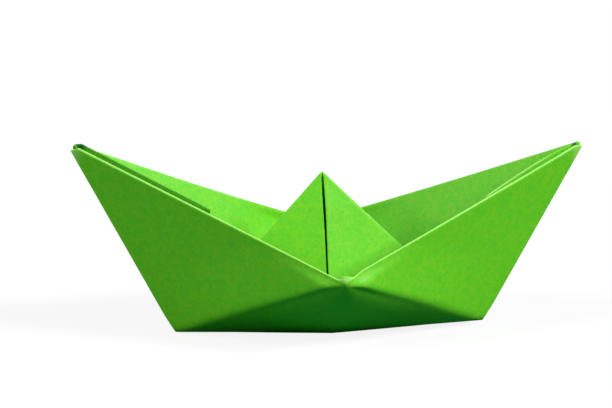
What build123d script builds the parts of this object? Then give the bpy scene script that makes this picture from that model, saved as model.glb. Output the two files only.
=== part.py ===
from build123d import *

# A paper boat, folded from one sheet of coloured paper.
#
# The sheet is halved, the two corners of its top fold are turned down to the middle, and the
# brims left below are turned up on both faces, with their ends taken round the sides. The hat
# this makes is opened and squared, its lower corners are turned up, and it is opened, squared
# and pulled out into a boat. The hat's middle stands up as the sail, its brims line the hull,
# and its two ends become the bow and the stern.
#
# Frame: +X runs from the stern to the bow, +Y from the near side to the far one and +Z up. The
# origin lies on the table, below the peak of the sail. Sizes are in millimetres.

import os
from math import cos, radians, sin, sqrt, tan

# The sheet
sheet_width = 210.0  # the side that the top fold runs along
sheet_length = 297.0
paper_thickness = 0.2
air_gap = 0.12  # between layers that lie on each other

# How far the folded boat is pulled open
side_lean = 60.0  # degrees, from upright to the middle of each side
keel_spread = 14.0  # between the two keel folds, halfway along
slit_width = 0.5  # between the two flaps on the front of the sail
nesting = 2.6  # how far inside the sail's edge the inner fold stops

# Lengths on the flat hat, which has its peak at (0, 0) and its brims turned up at the bottom
hat_height = sheet_width / 2
quarter = hat_height / 2
brim_height = sheet_length / 2 - hat_height
pitch = paper_thickness + air_gap  # from one layer to the next
past = 4.0  # how far paper is drawn past a plane that trims it

# Layers, counted towards the inside of the hull from the one that both flanks share
front_body, inner_flap, outer_flap, front_brim, tucked_rear_brim = -2, -1, 0, 1, 2
rear_body, tucked_front_brim, rear_brim = 0, 1, 2


def keel_height(layers_below):
    """How high the shared layer's keel fold lies, with so many layers between it and the table."""
    return (layers_below * pitch + paper_thickness / 2) / tan(radians(side_lean / 2))


# Corners of the stern half, on the flat hat and on the open boat
half_keel = sqrt(quarter**2 - (keel_spread / 2) ** 2)
rim_out = quarter * sin(radians(side_lean))
rim_up = quarter * cos(radians(side_lean))
floor = keel_height(outer_flap - front_body)
foot_flat, foot = (-quarter, -quarter), Vector(-half_keel, 0, floor)
peak_flat, peak = (0, 0), Vector(0, 0, floor + sqrt(2 * quarter**2 - half_keel**2))

# The tip keeps its flat distances from the foot and from the middles of both rims
reach = (half_keel**2 - quarter**2) / (2 * half_keel)
rake = -rim_up / half_keel
tip_rise = -reach * rake + sqrt(2 * quarter**2 * (1 + rake**2) - reach**2)
tip_rise /= 1 + rake**2
tip_flat = (-hat_height, -hat_height)
tip = Vector(-half_keel + reach + rake * tip_rise, 0, floor + tip_rise)


class Facet:
    """One flat stretch of the folded sheet, between its creases."""

    def __init__(self, flat, corners, facing):
        self.flat = flat
        self.corners = corners
        first, second, third = corners
        normal = (second - first).cross(third - first).normalized()
        if normal.dot(facing) < 0:
            normal = -normal
        self.plane = Plane(origin=first, x_dir=second - first, z_dir=normal)
        self.middle = (first + second + third) / 3
        self.mitres = []

    def point(self, u, h):
        """Where a point of the flat hat comes on this facet, or in line with it."""
        (u0, h0), (u1, h1), (u2, h2) = self.flat
        area = (u1 - u0) * (h2 - h0) - (u2 - u0) * (h1 - h0)
        along = ((u - u0) * (h2 - h0) - (u2 - u0) * (h - h0)) / area
        across = ((u1 - u0) * (h - h0) - (u - u0) * (h1 - h0)) / area
        first, second, third = self.corners
        return first + (second - first) * along + (third - first) * across

    def on_plane(self, u, h):
        local = self.plane.to_local_coords(self.point(u, h))
        return (local.X, local.Y)

    def side_of(self, trim):
        """The side of a trimming plane on which this facet lies."""
        return Keep.TOP if (self.middle - trim.origin).dot(trim.z_dir) > 0 else Keep.BOTTOM


def mitre_between(one, other, start, end):
    """The plane in which every layer of two facets meets, through the crease they share."""
    crease = end - start
    halfway = one.plane.z_dir + other.plane.z_dir
    return Plane(origin=start, x_dir=crease, z_dir=crease.cross(halfway))


def flank(side, layers_below):
    """The hull side, the bottom and the sail face of the stern half, on one side of the boat."""
    keel = Vector(0, side * keel_spread / 2, keel_height(layers_below))
    rim = Vector(0, side * rim_out, floor + rim_up)
    keel_flat, rim_flat = (0, -quarter), (0, -hat_height)
    inboard = Vector(0, -side, 1)
    hull = Facet((tip_flat, rim_flat, foot_flat), (tip, rim, foot), inboard)
    bottom = Facet((rim_flat, foot_flat, keel_flat), (rim, foot, keel), inboard)
    sail = Facet((peak_flat, foot_flat, keel_flat), (peak, foot, keel), Vector(0, side, 0))
    bilge_fold = mitre_between(hull, bottom, foot, rim)
    keel_fold = mitre_between(bottom, sail, foot, keel)
    hull.mitres = [bilge_fold]
    bottom.mitres = [bilge_fold, keel_fold]
    sail.mitres = [keel_fold]
    return hull, bottom, sail


def panel(facet, layer, outline, trims):
    """One layer of paper on one facet, mitred at the facet's creases."""
    with BuildPart() as paper:
        with BuildSketch(facet.plane.offset(layer * pitch)):
            Polygon(*[facet.on_plane(u, h) for u, h in outline], align=None)
        extrude(amount=paper_thickness / 2, both=True)
        for trim in facet.mitres + trims:
            split(bisect_by=trim, keep=facet.side_of(trim))
    return paper.part


def turned_fold(facet, lower, upper, start, end, trims):
    """The half-round fold that joins two layers along a line of the flat hat."""
    first = facet.point(*start)
    last = facet.point(*end)
    along = (last - first).normalized()
    outward = along.cross(facet.plane.z_dir)
    if outward.dot(first - facet.middle) < 0:
        outward = -outward
    between = facet.plane.z_dir * ((lower + upper) / 2 * pitch)
    outside = ((upper - lower) * pitch + paper_thickness) / 2
    with BuildPart() as fold:
        with BuildSketch(Plane(origin=first + between, x_dir=outward, z_dir=along)):
            Circle(outside)
            Circle(outside - paper_thickness, mode=Mode.SUBTRACT)
            Rectangle(outside, 2 * outside, align=(Align.MAX, Align.CENTER), mode=Mode.SUBTRACT)
        extrude(amount=(last - first).length)
        for trim in trims:
            split(bisect_by=trim, keep=facet.side_of(trim))
    return fold.part


near_facets = near_hull, near_bottom, near_sail = flank(-1, outer_flap - front_body)
far_facets = far_hull, far_bottom, far_sail = flank(1, 0)
bow_stern = Plane.YZ  # where the stern half meets the bow half
legs = Plane.XZ  # where the near flank meets the far one, at the stem and the sail's edge

# Outlines on the flat hat. They run past the middle, and past the leg where paper goes round it
foot_inside = (-quarter + nesting / sqrt(2), -quarter - nesting / sqrt(2))
whole = [(past, 2 * past), (-hat_height - past, -hat_height), (past, -hat_height)]
front = [(past, past - nesting * sqrt(2)), (0, -nesting * sqrt(2)), foot_inside, tip_flat,
         (past, -hat_height)]
flap_fold = -(slit_width + pitch + paper_thickness) / 2
inner = [(flap_fold, flap_fold - nesting * sqrt(2)), foot_inside, tip_flat,
         (flap_fold, -hat_height)]
outer = [(flap_fold, flap_fold + past), (-hat_height - past, -hat_height),
         (flap_fold, -hat_height)]
brim_top = brim_height - hat_height
brim = [(past, brim_top), (brim_top - past, brim_top), (-hat_height - past, -hat_height),
        (past, -hat_height)]
tucked = [(brim_top, brim_top + past), (-hat_height - past, -hat_height),
          (brim_top, -hat_height)]

# A brim deeper than the hull's sides would reach up onto the sail
brim_reach, tucked_reach = (3, 3) if brim_height > quarter else (2, 1)
near_layers = [(front_body, front, 3, [bow_stern]), (inner_flap, inner, 3, []),
               (outer_flap, outer, 3, [legs]), (front_brim, brim, brim_reach, [bow_stern, legs]),
               (tucked_rear_brim, tucked, tucked_reach, [legs])]
far_layers = [(rear_body, whole, 3, [bow_stern, legs]),
              (tucked_front_brim, tucked, tucked_reach, [legs]),
              (rear_brim, brim, brim_reach, [bow_stern, legs])]
pieces = []
for facets, layers in ((near_facets, near_layers), (far_facets, far_layers)):
    for layer, outline, reached, trims in layers:
        for facet in facets[:reached]:
            pieces.append(panel(facet, layer, outline, trims))

# The folded edges: along the leg, down the middle of the sail's front, and along both rims
leg_top = (0, -nesting * sqrt(2))
past_foot = (foot_inside[0] - past, foot_inside[1] - past)
leg_folds = [(near_sail, leg_top, past_foot), (near_bottom, leg_top, past_foot),
             (near_hull, foot_inside, tip_flat)]
middle_folds = [(near_sail, (flap_fold, flap_fold - nesting * sqrt(2)), (flap_fold, -quarter)),
                (near_bottom, (flap_fold, -quarter), (flap_fold, -hat_height))]
rim_start, rim_end = (-hat_height - past, -hat_height), (past, -hat_height)
for facet, start, end in leg_folds:
    pieces.append(turned_fold(facet, front_body, inner_flap, start, end, facet.mitres))
for facet, start, end in middle_folds:
    pieces.append(turned_fold(facet, inner_flap, outer_flap, start, end, facet.mitres))
pieces.append(turned_fold(near_hull, front_body, front_brim, rim_start, rim_end,
                          [bow_stern, legs]))
pieces.append(turned_fold(far_hull, rear_body, rear_brim, rim_start, rim_end,
                          [bow_stern, legs]))

with BuildPart() as folded_sheet:
    add(pieces)
    mirror(about=bow_stern)
folded_sheet.part.label = "folded_sheet"

os.makedirs("parts", exist_ok=True)
export_step(folded_sheet.part, "parts/folded_sheet.step")
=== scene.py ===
import math

import bmesh
import bpy
import numpy as np
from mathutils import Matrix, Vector


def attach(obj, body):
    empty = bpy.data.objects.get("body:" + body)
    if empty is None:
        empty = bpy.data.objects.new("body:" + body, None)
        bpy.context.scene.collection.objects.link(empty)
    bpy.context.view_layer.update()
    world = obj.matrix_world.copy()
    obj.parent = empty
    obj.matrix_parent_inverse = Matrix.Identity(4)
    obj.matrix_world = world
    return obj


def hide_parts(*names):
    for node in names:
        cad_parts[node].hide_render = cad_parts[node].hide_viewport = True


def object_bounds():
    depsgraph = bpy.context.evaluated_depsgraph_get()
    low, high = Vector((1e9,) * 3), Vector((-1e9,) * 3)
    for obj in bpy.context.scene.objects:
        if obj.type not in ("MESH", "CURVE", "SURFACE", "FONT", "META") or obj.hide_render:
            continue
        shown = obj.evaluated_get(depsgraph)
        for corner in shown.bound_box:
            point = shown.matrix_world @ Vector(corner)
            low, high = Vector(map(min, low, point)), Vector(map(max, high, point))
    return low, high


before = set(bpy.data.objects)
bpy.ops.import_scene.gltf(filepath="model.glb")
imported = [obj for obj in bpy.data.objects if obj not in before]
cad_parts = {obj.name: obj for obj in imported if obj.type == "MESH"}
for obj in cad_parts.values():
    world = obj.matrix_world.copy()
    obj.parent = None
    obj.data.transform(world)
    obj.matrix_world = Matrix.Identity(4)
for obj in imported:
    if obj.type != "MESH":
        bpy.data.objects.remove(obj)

cadLow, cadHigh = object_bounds()
scene = bpy.context.scene
mm = 0.001
tiny = 1e-6  # keeps a division away from nothing


def unit(v):
    return v / np.linalg.norm(v)


def ramp(x, radius):
    # max(x, 0) with its corner rounded off over radius either side
    return np.where(x > radius, x, np.where(x < -radius, 0.0, (x + radius) ** 2 / (4 * radius)))


def step(x, low, high):
    t = np.clip((x - low) / (high - low), 0, 1)
    return t * t * (3 - 2 * t)


# The boat's own sizes, in millimetres. Its tips are placed from the CAD box
boat = {
    "sheetWidth": 210.0,
    "sheetLength": 297.0,
    "paper": 0.17,        # thickness
    "pitch": 0.22,        # from one layer to the next
    "joinWithin": 0.002,  # points nearer than this are one
    "tipIn": 0.9,         # both tips against the CAD box, before the changes below
    "tipDown": 1.15,
    "bowLift": -2.85,
    "sternOut": 1.1,
    "bowOut": 0.8,
    "tipAside": -1.0,
    "sternFootUp": 1.2,
    "bowFootUp": 2.1,
    "sternFootOut": 0.6,  # how far the keel's ends are pulled past square
    "bowFootOut": 1.1,
    "peak": (-2.0, 5.4, 54.9),
    "keelOut": 6.6,       # how far each keel fold bows out halfway along
    "keelUp": {"near": 1.0, "far": -0.1},
    "rimOut": {"near": 45.2, "far": 44.5},
    "rimUp": {"near": 27.3, "far": 28.6},
}

hatHeight = boat["sheetWidth"] / 2
quarter = hatHeight / 2
brimHeight = boat["sheetLength"] / 2 - hatHeight
pitch = boat["pitch"]
tipOut = (cadHigh[0] - cadLow[0]) / 2 / mm - boat["tipIn"]
tipUp = cadHigh[2] / mm - boat["tipDown"]
footOut = math.sqrt(quarter ** 2 - boat["keelOut"] ** 2)
corner = {
    "stern": np.array([-tipOut - boat["sternOut"], boat["tipAside"], tipUp]),
    "bow": np.array([tipOut + boat["bowOut"], boat["tipAside"], tipUp + boat["bowLift"]]),
    "sternFoot": np.array([-footOut - boat["sternFootOut"], 0.0, boat["sternFootUp"]]),
    "bowFoot": np.array([footOut + boat["bowFootOut"], 0.0, boat["bowFootUp"]]),
    "peak": np.array(boat["peak"]),
}


class Flank:
    # One side of the boat as a surface over the flat hat: u across it, h up it, with the hat's
    # peak at (0, 0), its rim at h = -hatHeight and its two legs, the slanting edges, at u = h
    # and u = -h. A layer is a distance from the surface.

    def __init__(self, side):
        name = "near" if side < 0 else "far"
        self.side = side
        self.keel = np.array([0.0, side * boat["keelOut"], boat["keelUp"][name]])
        self.rim = np.array([0.0, side * boat["rimOut"][name], boat["rimUp"][name]])
        inward = np.array([0.0, -side, 1.0])
        sailFace = np.array([0.0, side, 0.0])
        self.normals = {}
        for end in ("stern", "bow"):
            tip, foot = corner[end], corner[end + "Foot"]
            self.normals[end] = [self.normal(tip, self.rim, foot, inward),
                                 self.normal(self.rim, foot, self.keel, inward),
                                 self.normal(corner["peak"], foot, self.keel, sailFace)]
        s, b = self.normals["stern"], self.normals["bow"]
        self.shift = {
            "rim": self.mitre([s[0], b[0], s[1], b[1]]),
            "keel": self.mitre([s[1], b[1], s[2], b[2]]),
            "peak": self.mitre([s[2], b[2]]),
            "sternFoot": self.mitre(s),
            "bowFoot": self.mitre(b),
        }

    @staticmethod
    def normal(a, b, c, towards):
        n = unit(np.cross(b - a, c - a))
        return n if n @ towards > 0 else -n

    @staticmethod
    def mitre(normals):
        # where a corner goes when every facet that meets there moves out by one
        return np.linalg.lstsq(np.array(normals), np.ones(len(normals)), rcond=None)[0]


near, far = Flank(-1), Flank(1)
for flank, other in ((near, far), (far, near)):
    for end in ("stern", "bow"):
        flank.shift[end] = flank.mitre([flank.normals[end][0], other.normals[end][0]])

# How the panels bow and how sharp their creases are, in millimetres on the flat hat. Along is
# a share of the way from the keel's end to the middle of the rim, and a pair of values is where
# something starts and where it is whole.
crease = {
    # rounding of the bilge, the fold between the hull's side and its bottom
    "bilgeAt": [0, 0.3, 0.75, 1],
    "bilge": [0.5, 1.8, 1.6, 0.5],
    "bilgeRise": 3.0,             # how far that fold bows towards the rim
    "bilgeRiseAlong": (0, 0.6),
    "bilgeTop": {"stern": 1.4, "bow": 0.7},  # and how much further beside the rim's dip
    "bilgeTopAlong": (0.7, 0.92),
    "bilgeFromRim": (0, 3),
    "bilgeSpread": (0, 36),       # how soon the side makes up for it
    "keel": 0.9,
    "middle": 3.5,                # rounding of the old fold down each bottom's middle
    "middleDown": (60, 70),
    "sharp": 0.05,                # the same where it is still crisp
    "swell": {-1: 2.3, 1: 2.0},   # how far each bottom bellies out
    "swellFlat": 0.8,
    "swellTowards": (0.55, -0.83),  # outward and up
    # how far the rims bow towards the far side
    "rimBow": {(-1, "stern"): 0.6, (-1, "bow"): -0.6, (1, "stern"): -4.0, (1, "bow"): -1.5},
    "rimBowEnd": 4,               # the higher, the nearer to the stem a side still bows
    # how far the near rim springs up beside its lowest point, towards the bow
    "spring": {(-1, "stern"): 0.0, (-1, "bow"): 1.6, (1, "stern"): 0.0, (1, "bow"): 0.0},
    "springFrom": (0, 9),
}


def beyondBilge(end, out, h):
    # how far a hat position lies past the bilge, on the hull's side
    along = np.clip((-h - np.abs(out)) / hatHeight, 0, 1)
    rise = (crease["bilgeRise"] * step(along, *crease["bilgeRiseAlong"])
            + crease["bilgeTop"][end] * step(along, *crease["bilgeTopAlong"]))
    rise = rise * step(h + hatHeight, *crease["bilgeFromRim"])
    past = out - (h + hatHeight)
    softness = np.interp(along, crease["bilgeAt"], crease["bilge"])
    return ramp(past - rise, softness) + rise * step(past, *crease["bilgeSpread"])


def sideBow(flank, end, out, h, beyond):
    # how the hull's side bows, most at the rim
    reach = np.clip(out, 0, None)
    toStem = np.clip(reach / np.maximum(-h, tiny), 0, 1)
    atRim = np.clip(beyond / np.maximum(reach, tiny), 0, 1) * (1 - toStem ** crease["rimBowEnd"])
    bow = atRim * crease["rimBow"][flank.side, end] * np.sin(math.pi * reach / hatHeight)
    spring = (atRim * crease["spring"][flank.side, end]
              * step(reach, *crease["springFrom"]) * (1 - reach / hatHeight))
    return bow[..., None] * np.array([0.0, 1.0, 0.0]) + spring[..., None] * flank.normals[end][0]


def bottomSwell(flank, u, h):
    # the belly of the bottom, which fades out at its folds
    fall = np.clip((-quarter - h) / quarter, 0, 1)
    inside = np.clip(1 - (u / np.maximum(h + hatHeight, tiny)) ** 2, 0, 1)
    swell = crease["swell"][flank.side] * np.sin(math.pi * fall) ** crease["swellFlat"] * inside
    outward, up = crease["swellTowards"]
    return swell[..., None] * np.array([0.0, flank.side * outward, up])


def place(flank, u, h, d):
    # the point of the sheet at hat position (u, h), in the layer at distance d
    u, h, d = np.broadcast_arrays(np.asarray(u, float), np.asarray(h, float), np.asarray(d, float))
    w = d[..., None]
    rim = flank.rim + w * flank.shift["rim"]
    keel = flank.keel + w * flank.shift["keel"]
    peak = corner["peak"] + w * flank.shift["peak"]
    p = rim + ((h + hatHeight) / quarter)[..., None] * (keel - rim)
    middle = crease["middle"] * step(-h, *crease["middleDown"]) + crease["sharp"]
    for end, sign in (("stern", -1), ("bow", 1)):
        out = sign * u
        foot = corner[end + "Foot"] + w * flank.shift[end + "Foot"]
        tip = corner[end] + w * flank.shift[end]
        beyond = beyondBilge(end, out, h)
        p = p + (ramp(out, middle) / quarter)[..., None] * (foot - keel)
        p = p + (beyond / hatHeight)[..., None] * (tip - rim - 2 * (foot - keel))
        p = p + sideBow(flank, end, out, h, beyond)
    above = ramp(h + quarter, crease["keel"])
    p = p + (above / quarter)[..., None] * (peak - 2 * keel + rim)
    return p + bottomSwell(flank, u, h)


folds = {
    "turn": 7,           # rows of mesh round a fold
    "legRound": 0.35,    # how far a fold's rounding starts from its line
    "legFade": 6,
    # how far the inner fold stops inside the sail's edges, from the peak to the keel's ends
    "nestingAt": [0, 14, 32, quarter, quarter + 5],
    "nesting": [0.7, 2.2, 2.2, 0.6, 0.05],
    "slitFoot": 0.36,    # half the gap between the flaps, at the rim
    "slitWide": 0.64,    # and at its widest
    "slitWideAt": 8,
    "slitTaper": 20,
    "slitTop": (-1.5, 2),
    "slitFade": 8,
    "slitAside": -0.5,   # how far the slit leans to the stern
    "slitAsideDown": (10, quarter),
    "slitLift": {-1: 0.5, 1: 1.0},  # how far the flaps' folded edges stand off the sail
    "slitLiftFrom": (1, 14),
    "slitLiftTo": (40, 75),
    "slitLiftFade": 9,
    "lip": 2.1,          # how far the near brim stands up where its rim dips
    "lipFrom": (-3.3, -1.3),
    "lipTo": (1.2, 4.6),
    "lipFade": 3,
    # how far the corners of the tips stop short, the near ones down the stem and the far
    # ones along the rim
    "tipDrop": {-1: 1.45, 1: 0.9},
    "tipCut": {-1: 1.05, 1: 0.3},
    "tipLength": 4,
    "sternPeek": 1.35,   # how far the tucked brim corners stand above the near rim
    "sternPeekLost": 0.75,  # the share of it that is lost at the tip
    "sternPeekEnd": (0.93, 1),
    "sternTuckReach": 1.236,  # how far along the rim the corner reaches, against square
    "bowPeek": 1.6,
    "bowPeekLean": 1.2,
    "bowPeekFlat": 0.8,
    "tuckOff": 0.3,      # how far they stand off from it
    "tuckFade": 14,
}

# The lattice that the layers share, finer towards the hat's middle and its rim. The brims
# begin at stripRow.
lattice = {"endRows": 32, "midRows": 10, "grade": 0.4}

evenly = np.linspace(0, 1, lattice["endRows"] + 1)
fine = brimHeight * (evenly - lattice["grade"] * np.sin(math.pi * evenly) / math.pi)
coarse = np.linspace(brimHeight, hatHeight - brimHeight, lattice["midRows"], endpoint=False)
knots = np.concatenate([fine[:-1], coarse, hatHeight - fine[::-1]])
rows = len(knots) - 1
stripRow = lattice["endRows"] + lattice["midRows"]

verts, wearsAndShading, faces = [], [], []


def addPoints(points, wearAndShading=0.0):
    first = sum(len(v) for v in verts)
    verts.append(points)
    wearsAndShading.append(np.full(len(points), wearAndShading))
    return first


class Region:
    # A stretch of one layer, on the lattice. keep picks the lattice points that it has, bend
    # moves them, still on the flat hat, and shade gives their wear, painted highlight and painted
    # shade.

    def __init__(self, flank, layer, halves, keep, bend, shade=None):
        self.flank, self.layer, self.halves = flank, layer, halves
        self.index = {}
        spots = []
        for end in halves:
            for i in range(rows + 1):
                for j in range(i, rows + 1):
                    if keep(i, j) and self.key(end, i, j) not in self.index:
                        self.index[self.key(end, i, j)] = len(spots)
                        spots.append((end * knots[i], -knots[j]))
        u, h = np.array(spots).T
        self.flat = np.stack(bend(u, h, np.full(len(u), layer * pitch)))
        self.points = place(flank, *self.flat)
        self.first = addPoints(self.points, shade(u, h) if shade else 0.0)
        for end in halves:
            flip = (end > 0) == (flank.side < 0)
            for i in range(rows):
                for j in range(i, rows):
                    ring = [(i, j), (i + 1, j), (i + 1, j + 1), (i, j + 1)]
                    if i == j:
                        ring = [(i, j), (i + 1, j + 1), (i, j + 1)]
                    if all(keep(*q) for q in ring):
                        face = [self.id(end, *q) for q in ring]
                        faces.append(face if flip else face[::-1])

    def key(self, end, i, j):
        # both halves of a whole layer share the points on the middle line
        return (0 if i == 0 and len(self.halves) == 2 else end, i, j)

    def id(self, end, i, j):
        return self.first + self.index[self.key(end, i, j)]

    def along(self, end, line):
        k = [self.id(end, *q) - self.first for q in line]
        return self.flat[:, k].T, self.points[k]


def stitch(chains, flip):
    for a, b in zip(chains[:-1], chains[1:]):
        for k in range(len(a) - 1):
            ring = [a[k], a[k + 1], b[k + 1], b[k]]
            faces.append(ring[::-1] if flip else ring)


def turnRound(regionA, regionB, line, end, outward, flip, wearAndShading):
    # a half-round fold between two layers on one flank, along a line of lattice points
    flatA, flatB = regionA.along(end, line)[0], regionB.along(end, line)[0]
    radius = np.abs(flatB[:, 2] - flatA[:, 2]) / 2
    chains = [[regionA.id(end, *q) for q in line]]
    for k in range(1, folds["turn"]):
        angle = math.pi * k / folds["turn"]
        t = (1 - math.cos(angle)) / 2
        flat = flatA * (1 - t) + flatB * t
        flat[:, :2] += np.outer(radius * math.sin(angle), outward)
        # paler towards the fold's crown: a painted highlight, with some rubbed dye
        first = addPoints(place(regionA.flank, *flat.T), wearAndShading * math.sin(angle) ** 3)
        chains.append(list(range(first, first + len(line))))
    chains.append([regionB.id(end, *q) for q in line])
    stitch(chains, flip)


def turnOver(regionA, regionB, line, end, flip, wearAndShading):
    # a rounded fold between the two flanks, along the leg
    a, b = regionA.along(end, line)[1], regionB.along(end, line)[1]
    # the far brim's tucked corners end as the far flank does
    worn = tipCut if regionA.layer > 1 else tipWorn
    legU, legH = end * knots[[q[0] for q in line]], -knots[[q[1] for q in line]]
    tops = (place(regionA.flank, *worn(legU, legH), regionA.layer * pitch)
            + place(regionB.flank, *tipCut(legU, legH), regionB.layer * pitch)) / 2
    chains = [[regionA.id(end, *q) for q in line]]
    for k in range(1, folds["turn"]):
        t = k / folds["turn"]
        # paler towards the fold's crown: a painted highlight, with some rubbed dye
        first = addPoints((1 - t) ** 2 * a + 2 * t * (1 - t) * tops + t * t * b,
                          wearAndShading * math.sin(math.pi * t) ** 2)
        chains.append(list(range(first, first + len(line))))
    chains.append([regionB.id(end, *q) for q in line])
    stitch(chains, flip)


def inFromLeg(u, h, amount):
    # moves hat positions off the leg, down the middle at the peak and along the rim at the tips
    toLeg = (np.abs(h) - np.abs(u)) / math.sqrt(2)
    push = amount * math.sqrt(2) * np.exp(-toLeg / folds["legFade"])
    share = np.clip(-h / hatHeight, 0, 1)
    side = np.where(u < 0, -1.0, 1.0)
    return u - side * push * share, h - push * (1 - share)


def atTip(u, amounts):
    fade = step(np.abs(u), hatHeight - folds["tipLength"], hatHeight)
    return fade * np.where(u < 0, amounts[-1], amounts[1])


def tipWorn(u, h):
    drop = atTip(u, folds["tipDrop"])
    return u - np.sign(u) * drop, h + drop


def tipCut(u, h):
    return u - np.sign(u) * atTip(u, folds["tipCut"]), h


def bendFar(u, h, d):
    return *tipCut(*inFromLeg(u, h, folds["legRound"])), d


def nestingAt(h):
    # the inner fold lies inside the sail, and comes out at the keel's ends
    return np.interp(-h, folds["nestingAt"], folds["nesting"])


def bendBody(u, h, d):
    return *tipWorn(*inFromLeg(u, h, nestingAt(h))), d


def bendFlap(end, inset):
    # one of the two flaps whose folded edges meet at the slit
    def bend(u, h, d):
        widest = np.exp(-((-h - folds["slitWideAt"]) / folds["slitTaper"]) ** 2)
        gap = folds["slitFoot"] + (folds["slitWide"] - folds["slitFoot"]) * widest
        gap = (end * gap * step(-h, *folds["slitTop"])
               + folds["slitAside"] * step(-h, *folds["slitAsideDown"]))
        lift = (folds["slitLift"][end] * step(-h, *folds["slitLiftFrom"])
                * (1 - step(-h, *folds["slitLiftTo"])))
        uu, hh = tipWorn(*inFromLeg(u, h, inset(h)))
        return (uu + gap * np.exp(-np.abs(u) / folds["slitFade"]), hh,
                d + lift * np.exp(-np.abs(u) / folds["slitLiftFade"]))
    return bend


def bendBrim(u, h, d):
    # the near brim stands up in a short lip where its rim dips to the middle
    uu, hh = inFromLeg(u, h, folds["legRound"])
    rise = folds["lip"] * step(u, *folds["lipFrom"]) * (1 - step(u, *folds["lipTo"]))
    return *tipWorn(uu, hh - rise * np.exp(-(h + hatHeight) / folds["lipFade"])), d


def bendTuck(end):
    # a tucked brim corner that stands above the near rim
    def bend(u, h, d):
        uu, hh = inFromLeg(u, h, folds["legRound"])
        along = (np.abs(u) - (hatHeight - brimHeight)) / brimHeight
        if end < 0:
            reach = folds["sternTuckReach"]
            uu = -hatHeight + (uu + hatHeight) * (1 + (reach - 1) * np.sqrt(1 - along))
            lost = folds["sternPeekLost"] * step(along, *folds["sternPeekEnd"])
            stand = folds["sternPeek"] * (1 - lost)
        else:
            hump = np.sin(math.pi * np.clip(along, 0, 1) ** folds["bowPeekLean"])
            stand = folds["bowPeek"] * hump ** folds["bowPeekFlat"]
        nearRim = np.exp(-(h + hatHeight) / folds["tuckFade"])
        uu, hh = tipCut(uu, hh)
        return uu, hh - stand * nearRim, d + folds["tuckOff"] * nearRim
    return bend


# From -1, painted shade deep in a fold, to 1, pale along its edge: rubbed dye and painted
# highlight
wearAndShadingOf = {
    # pale fold edges: painted highlights where the folds catch the light, with some rubbed dye
    "rim": 0.65,
    "leg": 0.55,
    "slit": 0.3,
    # painted shade down the body's middle, seen through the slit
    "behindSlit": -1.0,
    "behindSlitWidth": 1.2,
    "behindSlitTo": (quarter - 4, quarter),
    "tip": 0.6,                # the corners of the tips, on the hull's outside
    "tipAcross": (hatHeight - 8, hatHeight - 2),
    # painted shade where the layers part at the tips
    "tipOpening": -0.9,        # where the layers part at the tips
    "openingAcross": (hatHeight - 5, hatHeight - 2),
    # a painted highlight along the cut edge of the bow's tucked corner
    "bowTuck": 0.7,            # the cut edge of the bow's tucked corner
    "bowTuckWidth": 0.5,
    "bowTuckAcross": (hatHeight - 19, hatHeight - 9),
    # painted shade on the stern's tucked corner, under the rim
    "sternTuck": -0.5,         # the stern's, which lies in the rim's shade
    "sternTuckWidth": 2.5,
}


def bodyWearAndShade(u, h):
    # pale worn tips, and painted shade down the middle behind the slit
    slit = (np.exp(-(u / wearAndShadingOf["behindSlitWidth"]) ** 2)
            * (1 - step(-h, *wearAndShadingOf["behindSlitTo"])))
    tip = step(np.abs(u), *wearAndShadingOf["tipAcross"])
    return wearAndShadingOf["tip"] * tip + wearAndShadingOf["behindSlit"] * slit


def tuckShade(end):
    def shade(u, h):
        fromRim = h + hatHeight
        # painted shade where the layers part at the tips
        opening = wearAndShadingOf["tipOpening"] * step(np.abs(u), *wearAndShadingOf["openingAcross"])
        if end > 0:
            # a painted highlight along the bow tuck's cut edge
            edge = np.exp(-fromRim / wearAndShadingOf["bowTuckWidth"])
            return wearAndShadingOf["bowTuck"] * edge * (1 - step(u, *wearAndShadingOf["bowTuckAcross"])) + opening
        # painted shade on the stern's tuck, under the rim
        return wearAndShadingOf["sternTuck"] * np.exp(-fromRim / wearAndShadingOf["sternTuckWidth"]) + opening
    return shade


def everywhere(i, j):
    return True


def inStrip(i, j):
    return j >= stripRow


def inTuck(i, j):
    return i >= stripRow and j >= stripRow


both = (-1, 1)
frontBody = Region(near, -2, both, everywhere, bendBody, bodyWearAndShade)
innerFlap = {end: Region(near, -1, (end,), everywhere, bendFlap(end, nestingAt)) for end in both}
outerFlap = {end: Region(near, 0, (end,), everywhere,
                         bendFlap(end, lambda h: folds["legRound"])) for end in both}
frontBrim = Region(near, 1, both, inStrip, bendBrim)
rearTuck = {end: Region(near, 2, (end,), inTuck, bendTuck(end), tuckShade(end)) for end in both}
rearBody = Region(far, 0, both, everywhere, bendFar)
frontTuck = {end: Region(far, 1, (end,), inTuck, bendFar) for end in both}
rearBrim = Region(far, 2, both, inStrip, bendFar)
print("layers placed")

leg = [(k, k) for k in range(rows + 1)]
brimLeg = [(k, k) for k in range(stripRow, rows + 1)]
centre = [(0, k) for k in range(rows + 1)]
rimLine = [(k, rows) for k in range(rows + 1)]
for end in both:
    outOfLeg = (end / math.sqrt(2), 1 / math.sqrt(2))
    turnRound(frontBody, innerFlap[end], leg, end, outOfLeg, end > 0, wearAndShadingOf["leg"])
    turnRound(innerFlap[end], outerFlap[end], centre, end, (-end, 0), end < 0, wearAndShadingOf["slit"])
    turnOver(outerFlap[end], rearBody, leg, end, end > 0, wearAndShadingOf["leg"])
    turnOver(frontBrim, frontTuck[end], brimLeg, end, end > 0, wearAndShadingOf["leg"])
    turnOver(rearTuck[end], rearBrim, brimLeg, end, end > 0, wearAndShadingOf["leg"])
    turnRound(frontBody, frontBrim, rimLine, end, (0, -1), end > 0, wearAndShadingOf["rim"])
    turnRound(rearBody, rearBrim, rimLine, end, (0, -1), end < 0, wearAndShadingOf["rim"])
print("folds turned")


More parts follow.
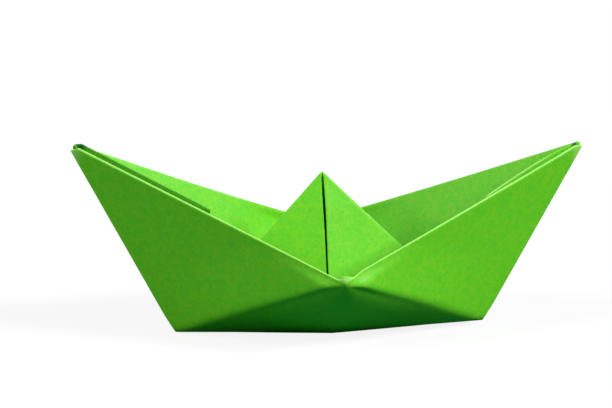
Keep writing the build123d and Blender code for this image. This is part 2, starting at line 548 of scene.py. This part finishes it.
def makeSheet():
    mesh = bpy.data.meshes.new("foldedSheet")
    mesh.from_pydata([tuple(v) for v in np.concatenate(verts) * mm], [], faces)
    # carries the pale fold edges, with their painted highlights, and the painted shade to the
    # material
    wearAndShadingMap = mesh.attributes.new("wearAndShading", "FLOAT", "POINT")
    wearAndShadingMap.data.foreach_set("value", np.concatenate(wearsAndShading).astype(np.float32))
    joined = bmesh.new()
    joined.from_mesh(mesh)
    bmesh.ops.remove_doubles(joined, verts=joined.verts, dist=boat["joinWithin"] * mm)
    bmesh.ops.recalc_face_normals(joined, faces=joined.faces)
    for face in joined.faces:
        face.smooth = True
    print("edges with three faces", sum(len(edge.link_faces) > 2 for edge in joined.edges))
    joined.to_mesh(mesh)
    joined.free()
    folded = bpy.data.objects.new("foldedPaper", mesh)
    scene.collection.objects.link(folded)
    thick = folded.modifiers.new("paper", "SOLIDIFY")
    thick.thickness = boat["paper"] * mm
    thick.offset = 0
    thick.use_even_offset = False
    print("sheet meshed", len(mesh.vertices), "points", len(mesh.polygons), "faces")
    return folded


sheet = makeSheet()
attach(sheet, "root")
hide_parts("folded_sheet")


def operator(operation, swap=False):
    def apply(self, other):
        return self.maths(operation, other, swap)
    return apply


class Socket:
    # one output, with arithmetic

    def __init__(self, tree, out):
        self.tree, self.out = tree, out

    def maths(self, operation, other, swap=False):
        inputs = (other, self) if swap else (self, other)
        return self.tree.add("ShaderNodeMath", {"operation": operation}, dict(enumerate(inputs)))

    __add__ = __radd__ = operator("ADD")
    __mul__ = __rmul__ = operator("MULTIPLY")
    __sub__ = operator("SUBTRACT")
    __rsub__ = operator("SUBTRACT", swap=True)


class Tree:
    # the nodes of a material or of the world

    def __init__(self, owner):
        owner.use_nodes = True
        self.nodes, self.links = owner.node_tree.nodes, owner.node_tree.links
        self.nodes.clear()

    def add(self, kind, settings=None, inputs=None, output=0):
        node = self.nodes.new(kind)
        for name, value in (settings or {}).items():
            setattr(node, name, value)
        for name, value in (inputs or {}).items():
            if isinstance(value, Socket):
                self.links.new(value.out, node.inputs[name])
            else:
                node.inputs[name].default_value = value
        return Socket(self, node.outputs[output]) if node.outputs else None

    def mix(self, factor, a, b):
        # sockets 0, 6 and 7 are a colour mix's factor and its two colours, and 2 the result
        return self.add("ShaderNodeMix", {"data_type": "RGBA"}, {0: factor, 6: a, 7: b}, 2)

    def noise(self, at, scale, detail=3.0, rough=0.55, warp=0.0):
        return self.add("ShaderNodeTexNoise", {}, {"Vector": at, "Scale": scale, "Detail": detail,
                                                   "Roughness": rough, "Distortion": warp})

    def smooth(self, value, low, high, top):
        return self.add("ShaderNodeMapRange", {"interpolation_type": "SMOOTHSTEP"},
                        {"Value": value, "From Min": low, "From Max": high, "To Max": top})


def rgb(*display):
    # display values from 0 to 255, made linear
    line = [c / 255 / 12.92 if c <= 10 else ((c / 255 + 0.055) / 1.055) ** 2.4 for c in display]
    return (*line, 1.0)


paperLook = {
    "green": rgb(97, 201, 4),
    "warm": rgb(118, 203, 2),    # blotches in the dye
    "cool": rgb(78, 195, 22),
    "pale": rgb(184, 232, 132),  # fibre flecks, and fold edges where the dye is rubbed off and a painted highlight lies
    "paintedShade": rgb(4, 112, 12),     # painted shade, down inside the slit, where the layers part and on the stern's tuck
    # scales are counts to the metre
    "blotch": {"scale": 420.0, "warp": 0.3},
    "smallBlotch": {"scale": 966.0, "rough": 0.6, "warp": 0.2},
    "fibre": {"scale": 2400.0, "rough": 0.65},
    # where each colour begins, where it is whole and how strong it is then
    "warmFrom": (0.4, 0.62, 0.9),
    "coolFrom": (0.47, 0.68, 0.8),
    "fibreFrom": (0.35, 0.75, 0.045),
    "rubbedAndHighlightFrom": (0.0, 1.0, 0.85),
    "paintedShadeFrom": (0.1, 0.9, 1.0),
    "rubbedAndHighlightPatchy": (0.7, 0.6),  # its least strength, and what the fibres add
    "roughness": (0.55, 0.72),
    "grainHeight": 0.12 * mm,
    "grainStrength": 0.35,
    "grainOfFibre": 0.6,
    "grainOfBlotch": 0.8,
}


def makePaper():
    material = bpy.data.materials.new("greenCraftPaper")
    t = Tree(material)
    at = t.add("ShaderNodeTexCoord", output="Object")
    broad = t.noise(at, **paperLook["blotch"])
    small = t.noise(at, **paperLook["smallBlotch"])
    fibre = t.noise(at, **paperLook["fibre"])
    colour = t.mix(t.smooth(broad, *paperLook["warmFrom"]), paperLook["green"], paperLook["warm"])
    colour = t.mix(t.smooth(small, *paperLook["coolFrom"]), colour, paperLook["cool"])
    colour = t.mix(t.smooth(fibre, *paperLook["fibreFrom"]), colour, paperLook["pale"])
    wearAndShading = t.add("ShaderNodeAttribute", {"attribute_name": "wearAndShading"}, output="Fac")
    least, more = paperLook["rubbedAndHighlightPatchy"]
    # pale fold edges: rubbed dye and a painted highlight
    rubbedAndHighlight = t.smooth(wearAndShading, *paperLook["rubbedAndHighlightFrom"]) * (least + more * fibre)
    colour = t.mix(rubbedAndHighlight, colour, paperLook["pale"])
    # painted shade where the attribute is below nothing
    colour = t.mix(t.smooth(0 - wearAndShading, *paperLook["paintedShadeFrom"]), colour, paperLook["paintedShade"])
    low, high = paperLook["roughness"]
    grain = fibre * paperLook["grainOfFibre"] + small * paperLook["grainOfBlotch"]
    bump = t.add("ShaderNodeBump", {}, {"Strength": paperLook["grainStrength"],
                                        "Distance": paperLook["grainHeight"], "Height": grain})
    shader = t.add("ShaderNodeBsdfPrincipled", {}, {"Base Color": colour,
                                                    "Roughness": low + (high - low) * fibre,
                                                    "Normal": bump})
    t.add("ShaderNodeOutputMaterial", {}, {"Surface": shader})
    return material


sheet.data.materials.append(makePaper())
print("paper made")

studio = {
    "tableReach": 6.0,
    "tableDown": 0.1 * mm,
    "tableTone": rgb(254, 254, 254),
    "tableGlow": 0.88,
    "tableBack": rgb(46, 114, 86),  # what the table gives back to the paper
    "skyTone": rgb(255, 255, 255),
    "sky": 0.06,
    "skySeen": 1.0,
    # where each lamp stands, its strength and how soft it is, in degrees
    "lamps": {"keyLight": ((0.70, -0.42, 0.57), 4.2, 16),
              "fillLight": ((-0.77, -0.28, 0.57), 2.2, 30)},
}


def makeTable():
    # the table looks pale, but gives little light back
    material = bpy.data.materials.new("paleTable")
    tree = Tree(material)
    seen = tree.add("ShaderNodeLightPath", output="Is Camera Ray")
    dim = tree.add("ShaderNodeBsdfDiffuse", {}, {"Color": studio["tableBack"]})
    matt = tree.add("ShaderNodeBsdfDiffuse", {}, {"Color": studio["tableTone"]})
    glow = tree.add("ShaderNodeEmission", {}, {"Color": studio["tableTone"]})
    pale = tree.add("ShaderNodeMixShader", {}, {0: studio["tableGlow"], 1: matt, 2: glow})
    shade = tree.add("ShaderNodeMixShader", {}, {0: seen, 1: dim, 2: pale})
    tree.add("ShaderNodeOutputMaterial", {}, {"Surface": shade})
    reach, down = studio["tableReach"], studio["tableDown"]
    corners = [(-reach, -reach, -down), (reach, -reach, -down),
               (reach, reach, -down), (-reach, reach, -down)]
    tableMesh = bpy.data.meshes.new("table")
    tableMesh.from_pydata(corners, [], [(0, 1, 2, 3)])
    tableMesh.materials.append(material)
    table = bpy.data.objects.new("table", tableMesh)
    scene.collection.objects.link(table)


def makeSky():
    # white behind the boat, but dim as a light
    world = bpy.data.worlds.new("studio")
    tree = Tree(world)
    seen = tree.add("ShaderNodeLightPath", output="Is Camera Ray")
    level = tree.add("ShaderNodeMapRange", {}, {"Value": seen, "To Min": studio["sky"],
                                                "To Max": studio["skySeen"]})
    glow = tree.add("ShaderNodeBackground", {}, {"Color": studio["skyTone"], "Strength": level})
    tree.add("ShaderNodeOutputWorld", {}, {"Surface": glow})
    scene.world = world


def makeLamp(name, towards, strength, softness):
    light = bpy.data.lights.new(name, "SUN")
    light.energy, light.angle = strength, math.radians(softness)
    lamp = bpy.data.objects.new(name, light)
    lamp.rotation_euler = Vector(towards).to_track_quat("Z", "Y").to_euler()
    scene.collection.objects.link(lamp)


makeTable()
makeSky()
for lampName, lampSettings in studio["lamps"].items():
    makeLamp(lampName, *lampSettings)
scene.view_settings.view_transform = "Standard"

# Where the camera stands: degrees round from square on and above the table, and metres from
# the point that it aims at
lookFrom = {"turn": -6.69, "rise": 12.98, "distance": 0.70, "aimHeight": 0.031,
            "lens": 119.9, "shift": (-0.0386, 0.0623)}


def placeCamera():
    turn, rise = math.radians(lookFrom["turn"]), math.radians(lookFrom["rise"])
    level = math.cos(rise)
    back = Vector((math.sin(turn) * level, -math.cos(turn) * level, math.sin(rise)))
    cameraData = bpy.data.cameras.new("camera")
    cameraData.lens = lookFrom["lens"]
    cameraData.shift_x, cameraData.shift_y = lookFrom["shift"]
    camera = bpy.data.objects.new("camera", cameraData)
    camera.location = Vector((0, 0, lookFrom["aimHeight"])) + back * lookFrom["distance"]
    camera.rotation_euler = (-back).to_track_quat("-Z", "Y").to_euler()
    scene.collection.objects.link(camera)
    scene.camera = camera


placeCamera()
print("camera and lights set")
